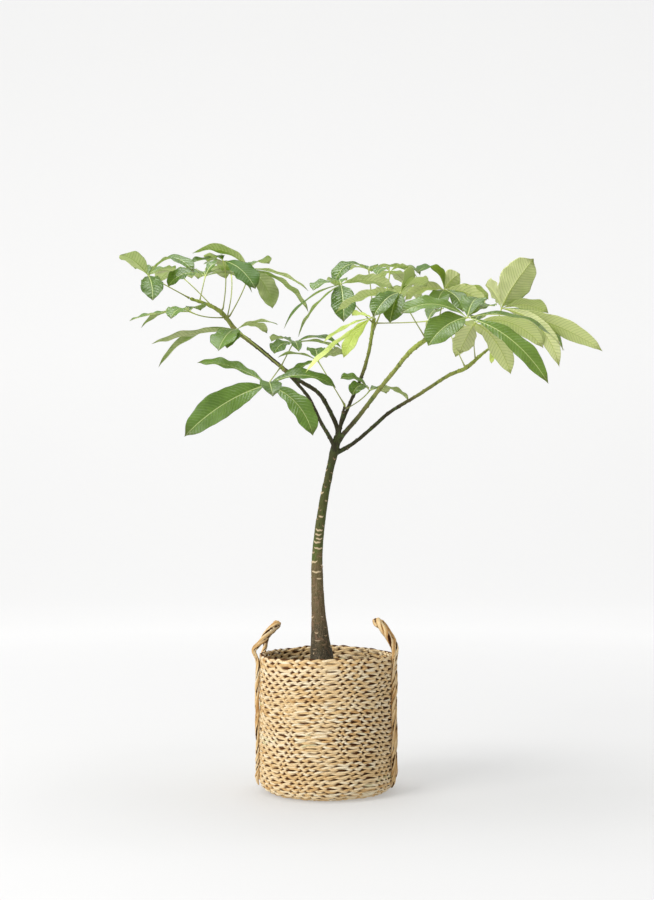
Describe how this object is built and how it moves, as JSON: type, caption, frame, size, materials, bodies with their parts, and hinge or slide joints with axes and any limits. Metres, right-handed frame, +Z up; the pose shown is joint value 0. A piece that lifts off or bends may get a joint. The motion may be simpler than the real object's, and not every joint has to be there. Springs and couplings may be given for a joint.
{
  "type": "potted money tree",
  "caption": "Money tree with a slim trunk, slender branches and hand-shaped leaves, in a nursery pot that stands inside a round braided basket with loop handles.",
  "frame": {"origin": "centre of the basket's flat underside, on the surface that it stands on", "axes": "+Z up along the trunk, +X towards the viewer's right and the right-hand rope handle, +Y away from the viewer"},
  "size_m": [1.0511, 0.5736, 1.185],
  "materials": {
    "straw_braid": "matte",
    "dark_plastic": "satin",
    "potting_soil": "matte",
    "bark": "matte",
    "leaf_green": "satin",
    "young_leaf_green": "satin"
  },
  "bodies": {
    "root": {"basket_wall": "straw_braid", "basket_base": "straw_braid", "handle_left": "straw_braid", "handle_right": "straw_braid", "drip_saucer": "dark_plastic", "nursery_pot": "dark_plastic", "soil": "potting_soil", "trunk_and_branches": "bark", "leaf_01": "leaf_green", "leaf_02": "leaf_green", "leaf_03": "leaf_green", "leaf_04": "leaf_green", "leaf_05": "leaf_green", "leaf_06": "leaf_green", "leaf_07": "leaf_green", "leaf_08": "leaf_green", "leaf_09": "leaf_green", "leaf_10": "leaf_green", "leaf_11": "leaf_green", "leaf_12": "leaf_green", "leaf_13": "leaf_green", "leaf_14": "leaf_green", "leaf_15": "leaf_green", "leaf_16": "leaf_green", "leaf_17": "leaf_green", "leaf_18": "young_leaf_green", "leaf_19": "leaf_green", "leaf_20": "leaf_green", "leaf_21": "leaf_green", "leaf_22": "leaf_green", "leaf_23": "leaf_green", "leaf_24": "leaf_green", "leaf_25": "leaf_green", "leaf_26": "young_leaf_green"}
  },
  "joints": []
}
